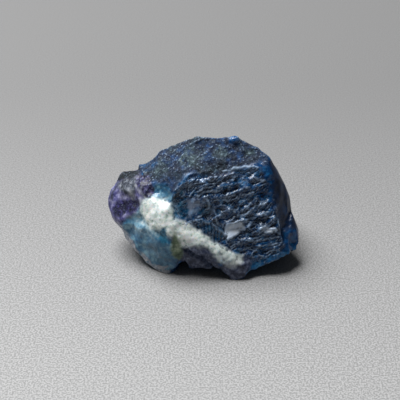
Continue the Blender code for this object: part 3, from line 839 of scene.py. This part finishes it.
# %% [markdown]
# Last come the painted shade in the hollows, the painted highlight on the crests, the shader and the
# inside. Afghanite's index of refraction is close to 1.525, and calcite's lies on both sides of that, at
# 1.49 and 1.66. The specular level is kept under its usual half, because chips too small for this mesh
# scatter part of the mirror light. Light that goes in is coloured by how far it travels: the volume soaks
# up red first, so thin edges are bright blue and thick parts navy.

# %% Painted shade in the hollows, painted highlight on the crests, and the shader
PAINTED_HIGHLIGHT_COLOUR = "B8D0EC"
PAINTED_SHADE_COLOUR = "020A1C"
PAINTED_SHADE_STRENGTH = 0.85
INSIDE_COLOUR = "3A84B4"
INSIDE_DENSITY = 190.0
GRIT_SIZE = 0.14
GRIT_DEPTH = 0.06
GRIT_STRENGTH = 0.30
LINE_HEIGHT = 0.9
SCATTER_REACH = 0.7
SCATTER_TINT = (0.9, 1.0, 1.1)
CRYSTAL_IOR = 1.525
SPECULAR_LEVEL = 0.32

# Painted shade: the dark colour laid over the hollows.
painted_hollow_shade = add_node(tree, "Attribute", attribute_name="painted_hollow_shade").outputs["Fac"]
shade_share = add_node(tree, "Math", {0: painted_hollow_shade, 1: PAINTED_SHADE_STRENGTH}, operation="MULTIPLY").outputs[0]
shaded = laid_over(shade_share, colour, linear(PAINTED_SHADE_COLOUR))
# Painted highlight: a pale colour laid along the crests and the painted glint lines.
painted_crest_highlight = add_node(tree, "Attribute", attribute_name="painted_crest_highlight").outputs["Fac"]
highlight_share = add_node(tree, "Math", {0: painted_crest_highlight, 1: painted_highlight_marks}, operation="MAXIMUM").outputs[0]
highlighted = laid_over(highlight_share, shaded, linear(PAINTED_HIGHLIGHT_COLOUR))

grit = add_node(tree, "TexNoise", {"Vector": in_mm, "Scale": 1 / GRIT_SIZE, "Detail": 3.0, "Roughness": 0.6})
fields = {0: painted_highlight_marks, 1: LINE_HEIGHT, 2: grit.outputs["Fac"]}
lined = add_node(tree, "Math", fields, operation="MULTIPLY_ADD").outputs[0]
fields = {"Height": lined, "Strength": GRIT_STRENGTH, "Distance": GRIT_DEPTH * MM}
bumped = add_node(tree, "Bump", fields).outputs["Normal"]
roughness, through, scatter = levels
shader = add_node(tree, "BsdfPrincipled", {
    "Base Color": highlighted, "Roughness": roughness, "Transmission Weight": through,
    "Subsurface Weight": scatter, "Subsurface Radius": SCATTER_TINT, "Subsurface Scale": SCATTER_REACH * MM,
    "IOR": CRYSTAL_IOR, "Specular IOR Level": SPECULAR_LEVEL, "Normal": bumped,
})
soaking = add_node(tree, "VolumeAbsorption", {"Color": linear(INSIDE_COLOUR), "Density": INSIDE_DENSITY})
add_node(tree, "OutputMaterial", {"Surface": shader.outputs["BSDF"], "Volume": soaking.outputs["Volume"]})
even.materials.clear()
even.materials.append(material)
print("material has", len(tree.nodes), "nodes")

# %% [markdown]
# The stone lies on a plain grey sheet, so much larger than the stone that no view from above sees its
# end. Its tooth shows as a light mottle. Real tooth is about a tenth of a millimetre, and it is drawn
# twice as coarse so that it shows. Only the sheet near the stone is sharp, so the tooth is strong in
# front and fades behind. The sheet is also painted darker behind, a painted falloff of the light.

# %% Floor
FLOOR_REACH = 900
TOOTH_SIZE = 0.20
TOOTH_STOPS = [(0.30, "797979"), (0.70, "9C9C9C")]
TOOTH_FADE = {"From Min": -20 * MM, "From Max": 30 * MM, "To Min": 2.3, "To Max": 0.5}
PAINTED_FALLOFF_BEHIND = {"From Min": -45 * MM, "From Max": 45 * MM, "To Min": 1.0, "To Max": 0.60}
SHEET_ROUGHNESS = 0.6

ground = bmesh.new()
bmesh.ops.create_grid(ground, x_segments=1, y_segments=1, size=FLOOR_REACH * MM)
floor_mesh = bpy.data.meshes.new("floor")
ground.to_mesh(floor_mesh)
ground.free()
floor = bpy.data.objects.new("floor", floor_mesh)
bpy.context.scene.collection.objects.link(floor)

sheet = bpy.data.materials.new("matt_grey_sheet")
sheet.use_nodes = True
tree = sheet.node_tree
tree.nodes.clear()
place = add_node(tree, "TexCoord").outputs["Object"]
tooth = add_node(tree, "TexNoise", {"Vector": place, "Scale": 1 / (TOOTH_SIZE * MM), "Detail": 2.0})
depth_in = add_node(tree, "SeparateXYZ", {0: place}).outputs["Y"]
contrast = add_node(tree, "MapRange", {"Value": depth_in, **TOOTH_FADE}).outputs[0]
centred = add_node(tree, "Math", {0: tooth.outputs["Fac"], 1: 0.5}, operation="SUBTRACT").outputs[0]
bolder = add_node(tree, "Math", {0: centred, 1: contrast, 2: 0.5}, operation="MULTIPLY_ADD").outputs[0]
mottle = add_node(tree, "ValToRGB", {"Fac": bolder}, TOOTH_STOPS).outputs["Color"]
# Painted falloff: the sheet's colour darkens towards the back, standing in for light that falls off.
fields = {"Value": depth_in, **PAINTED_FALLOFF_BEHIND}
painted_falloff = add_node(tree, "MapRange", fields, interpolation_type="SMOOTHSTEP").outputs[0]
mottle_with_painted_falloff = add_node(tree, "VectorMath", {0: mottle, 3: painted_falloff}, operation="SCALE").outputs[0]
matt = add_node(tree, "BsdfPrincipled", {"Base Color": mottle_with_painted_falloff, "Roughness": SHEET_ROUGHNESS})
add_node(tree, "OutputMaterial", {"Surface": matt.outputs["BSDF"]})
floor_mesh.materials.append(sheet)
print("floor is", 2 * FLOOR_REACH, "mm wide")

# %% [markdown]
# A large soft box hangs above the stone, behind it and to the left. It lights the slope and every tread
# that faces up, and leaves a dark, soft shadow under the front and right. The room around it is dim, so
# that the steep faces stay deep blue.

# %% Light
SOFT_BOX_WIDTH = 0.56
SOFT_BOX_WATTS = 13.6
SOFT_BOX_PLACE = Vector((-0.24, 0.24, 0.68))
ROOM_STOPS = [(0.0, "606468"), (0.9, "A4A8AC")]
ROOM_STRENGTH = 0.22

soft_box = bpy.data.objects.new("soft_box", bpy.data.lights.new("soft_box", "AREA"))
soft_box.data.shape = "DISK"
soft_box.data.size = SOFT_BOX_WIDTH
soft_box.data.energy = SOFT_BOX_WATTS
soft_box.location = SOFT_BOX_PLACE
soft_box.rotation_euler = (-SOFT_BOX_PLACE).to_track_quat("-Z", "Y").to_euler()
bpy.context.scene.collection.objects.link(soft_box)

room = bpy.data.worlds.new("dim_room")
room.use_nodes = True
bpy.context.scene.world = room
tree = room.node_tree
tree.nodes.clear()
direction = add_node(tree, "TexCoord").outputs["Generated"]
height_up = add_node(tree, "SeparateXYZ", {0: direction}).outputs["Z"]
walls = add_node(tree, "ValToRGB", {"Fac": height_up}, ROOM_STOPS).outputs["Color"]
lit = add_node(tree, "Background", {"Color": walls, "Strength": ROOM_STRENGTH})
add_node(tree, "OutputWorld", {"Surface": lit.outputs["Background"]})
bpy.context.scene.view_settings.view_transform = "Standard"
print("lit by one soft box", round(SOFT_BOX_PLACE.length, 2), "m away and a dim room")
